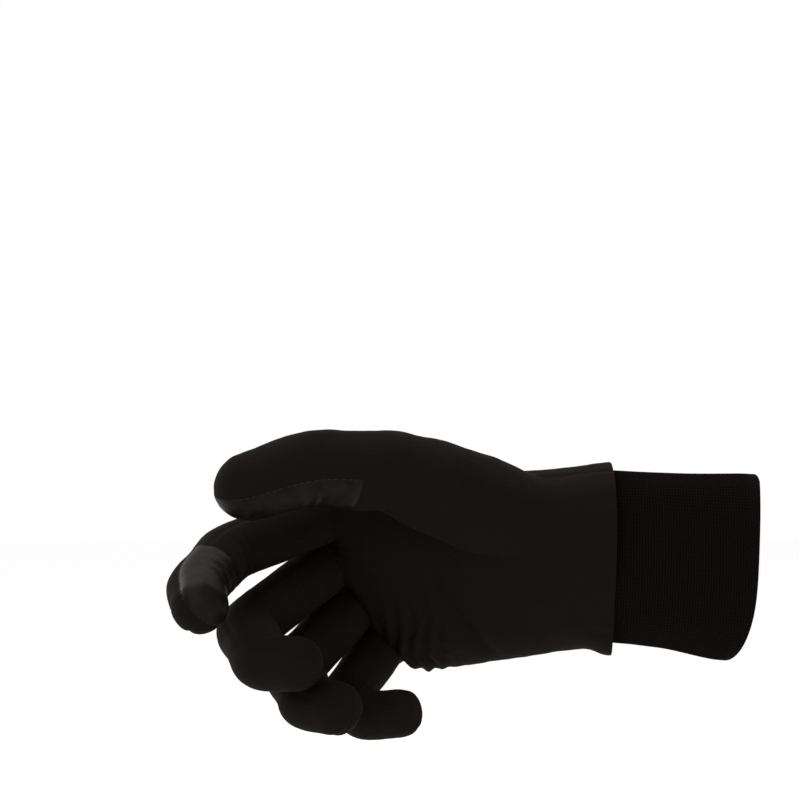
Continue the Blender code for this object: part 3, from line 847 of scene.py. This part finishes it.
def grid_object(name, grid, finish, close_rows=False):
    """A tube whose columns close on themselves; close_rows joins its last row to its first."""
    columns, rows = grid.shape[:2]
    faces = grid_faces(columns, rows, True)
    if close_rows:
        for i in range(columns):
            here, there = i * rows, (i + 1) % columns * rows
            faces.append((here + rows - 1, there + rows - 1, there, here))
    mesh = bpy.data.meshes.new(name)
    mesh.from_pydata((grid.reshape(-1, 3) * MM).tolist(), [], faces)
    mesh.materials.append(finish)
    bm = bmesh.new()
    bm.from_mesh(mesh)
    bmesh.ops.recalc_face_normals(bm, faces=bm.faces)
    bm.to_mesh(mesh)
    bm.free()
    mesh.shade_smooth()
    thing = bpy.data.objects.new(name, mesh)
    bpy.context.scene.collection.objects.link(thing)
    return thing


cuff = grid_object("rib_cuff", cuff_grid, RIB, close_rows=True)
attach(cuff, "cuff")
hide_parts("rib_knit_cuff")
print("cuff", len(cuff.data.polygons), "faces,", RIBS, "ribs")

# %% [markdown]
# Inside the wrist the raw edges are held by an overlocked seam, a band of thread loops 2.3 mm apart.
# A blank label of woven tape is caught in it and lies up the inside of the cuff.

# %% Overlock seam and care label
LOOPS, COLUMNS_A_LOOP = 78, 6
seam_angles_round = np.linspace(0, 2 * math.pi, LOOPS * COLUMNS_A_LOOP, endpoint=False)
loop_wave = np.abs(np.sin(seam_angles_round * LOOPS / 2)) ** 0.7
seam_rows = []
for turn in np.linspace(0, 2 * math.pi, 14, endpoint=False):
    seam_rows.append((SEAM_X - 1.5 + 1.6 * math.cos(turn), 1.7 - 0.9 * math.sin(turn), math.sin(turn)))
seam_grid = np.zeros((len(seam_angles_round), len(seam_rows), 3))
for row, (along, inset, out) in enumerate(seam_rows):
    here = np.full(len(seam_angles_round), along)
    seam_grid[:, row] = cuff_ring(seam_angles_round, here, inset, -0.35 * (1 - loop_wave) * out)
seam = grid_object("wrist_overlock_thread", seam_grid, THREAD, close_rows=True)
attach(seam, "cuff")
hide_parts("wrist_seam_overlock")

label_low, label_high = (np.array(c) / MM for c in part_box("care_label"))
label_angles = np.radians(np.linspace(71, 109, 25))
label_alongs = np.linspace(label_low[0] + 0.2, label_high[0] - 0.2, 20)
label_points, label_faces = [], grid_faces(len(label_angles), len(label_alongs), False)
for angle in label_angles:
    ripple = 3.0 + 0.12 * np.sin(label_alongs / 2.4 + angle * 5)
    for along, inset in zip(label_alongs, ripple):
        label_points.append(cuff_ring(np.array([angle]), np.array([along]), inset, 0.0)[0])
label_points = np.array(label_points)
label_normals = grid_normals(label_points, len(label_angles), len(label_alongs), False)
outward = label_points - np.array([0, 0, 2.0])
outward[:, 0] = 0
if (label_normals * outward).sum() < 0:
    label_faces = [face[::-1] for face in label_faces]
    label_normals = -label_normals
label = cloth("blank_care_label", label_points, label_faces, label_normals, TAPE, thickness=0.3)
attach(label, "cuff")
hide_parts("care_label")

# %% [markdown]
# The leather pads are lock-stitched to the jersey: short dashes of thread in the seam's valley, 2.6 mm
# apart, which follow its side seams from where the pad starts to 3.5 mm short of the tip.

# %% Pad stitching
STITCH_PITCH, STITCH_LENGTH, STITCH_RADIUS, STITCH_SIDES = 2.6, 1.9, 0.28, 6


def dash(bm, centre, along, out):
    """One stitch: a short thread with pointed ends, sunk half into the cloth."""
    side = unit(np.cross(along, out))
    rings = []
    for share in (-0.5, -0.32, 0.0, 0.32, 0.5):
        size = STITCH_RADIUS * (1 - (2 * abs(share)) ** 4 * 0.85)
        turn = np.linspace(0, 2 * math.pi, STITCH_SIDES, endpoint=False)
        ring = centre + along * STITCH_LENGTH * share + size * (
            np.outer(np.cos(turn), side) + np.outer(np.sin(turn), out))
        rings.append(ring)
    add_form(bm, rings)


def make_stitches(name):
    grid = SLEEVES[name]
    first = grid["cuts"][-2]
    last = int(np.argmin(np.abs(grid["stations"] - (grid["stations"][-1] - 3.5))))
    bm = bmesh.new()
    for seam, label in seam_angles(name, PAD_WRAP if name == "index" else 0.0):
        if label not in ("back", "palm"):
            continue
        column = int(np.argmin(np.abs(grid["angles"] - seam)))
        line = grid["points"][column, first:last]
        outs = grid["normals"][column, first:last]
        run = np.concatenate([[0], np.cumsum(np.linalg.norm(np.diff(line, axis=0), axis=1))])
        for station in np.arange(2.0, run[-1], STITCH_PITCH):
            i = min(int(np.searchsorted(run, station)), len(line) - 2)
            dash(bm, line[i] + outs[i] * 0.12, unit(line[i + 1] - line[i]), outs[i])
    bmesh.ops.recalc_face_normals(bm, faces=bm.faces)
    mesh = bpy.data.meshes.new(f"{name}_pad_stitches")
    bm.to_mesh(mesh)
    bm.free()
    mesh.shade_smooth()
    mesh.materials.append(THREAD)
    thing = bpy.data.objects.new(f"{name}_pad_stitches", mesh)
    bpy.context.scene.collection.objects.link(thing)
    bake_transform(thing)


make_stitches("index")
make_stitches("thumb")

# %% [markdown]
# A pale floor lies well below the glove, which is held by its wrist in the pose of a gripping hand,
# in an even white room. Soft light comes from the front and above, and a strip behind the thumb side
# draws the nap's edge.

# %% Stage, light and camera
FLOOR_RADIUS, FLOOR_HEIGHT, FLOOR_SIDES = 3.0, -0.17, 96
floor_mesh = bpy.data.meshes.new("pale_floor")
turns = np.linspace(0, 2 * math.pi, FLOOR_SIDES, endpoint=False)
floor_points = [(FLOOR_RADIUS * math.cos(t), FLOOR_RADIUS * math.sin(t), FLOOR_HEIGHT) for t in turns]
floor_mesh.from_pydata(floor_points, [], [tuple(range(FLOOR_SIDES))])
paper, _ = new_material("matt_white_paper", {"Base Color": srgb("#fdfdfd"), "Roughness": 0.95})
floor_mesh.materials.append(paper)
floor = bpy.data.objects.new("pale_floor", floor_mesh)
bpy.context.scene.collection.objects.link(floor)

GLOVE_CENTRE = Vector((cad_box[0] + cad_box[1]) / 2)


def softbox(name, place, size, power, colour="#ffffff"):
    light = bpy.data.lights.new(name, "AREA")
    light.shape, light.size, light.size_y = "RECTANGLE", *size
    light.energy, light.color = power, srgb(colour)[:3]
    lamp = bpy.data.objects.new(name, light)
    bpy.context.scene.collection.objects.link(lamp)
    lamp.location = GLOVE_CENTRE + Vector(place)
    lamp.rotation_mode = "QUATERNION"
    lamp.rotation_quaternion = (GLOVE_CENTRE - lamp.location).to_track_quat("-Z", "Y")


softbox("front_key", (-0.35, -0.75, 0.55), (0.6, 0.6), 2.6)
softbox("front_fill", (0.7, -0.8, 0.05), (0.7, 0.7), 0.5)
softbox("top_strip", (-0.05, 0.15, 0.6), (0.9, 0.18), 2.4, "#fff1ea")
softbox("rim_strip", (-0.55, 0.35, 0.2), (0.2, 0.6), 1.6, "#fff1ea")

world = bpy.data.worlds.new("studio")
bpy.context.scene.world = world
world.use_nodes = True
world.node_tree.nodes["Background"].inputs["Color"].default_value = srgb("#ffffff")
world.node_tree.nodes["Background"].inputs["Strength"].default_value = 1.0
bpy.context.scene.view_settings.view_transform = "Standard"

CAMERA_DISTANCE, FIELD_WIDTH = 0.9, 0.312  # metres to the plane of the forearm, and its width in view
VIEW_MIDDLE_X, VIEW_MIDDLE_Z = -0.13845, 0.06474  # metres: the place in the middle of the view
camera_data = bpy.data.cameras.new("camera")
camera_data.sensor_width = 36.0
camera_data.lens = 36.0 * CAMERA_DISTANCE / FIELD_WIDTH
camera = bpy.data.objects.new("camera", camera_data)
bpy.context.scene.collection.objects.link(camera)
camera.location = (VIEW_MIDDLE_X, -CAMERA_DISTANCE, VIEW_MIDDLE_Z)
camera.rotation_euler = (math.pi / 2, 0, 0)
bpy.context.scene.camera = camera

# %% [markdown]
# The box says how large the solid glove is, in millimetres.

# %% Size of the solid glove
print("cad box", [round(c / MM, 1) for c in (*cad_box[0], *cad_box[1])])
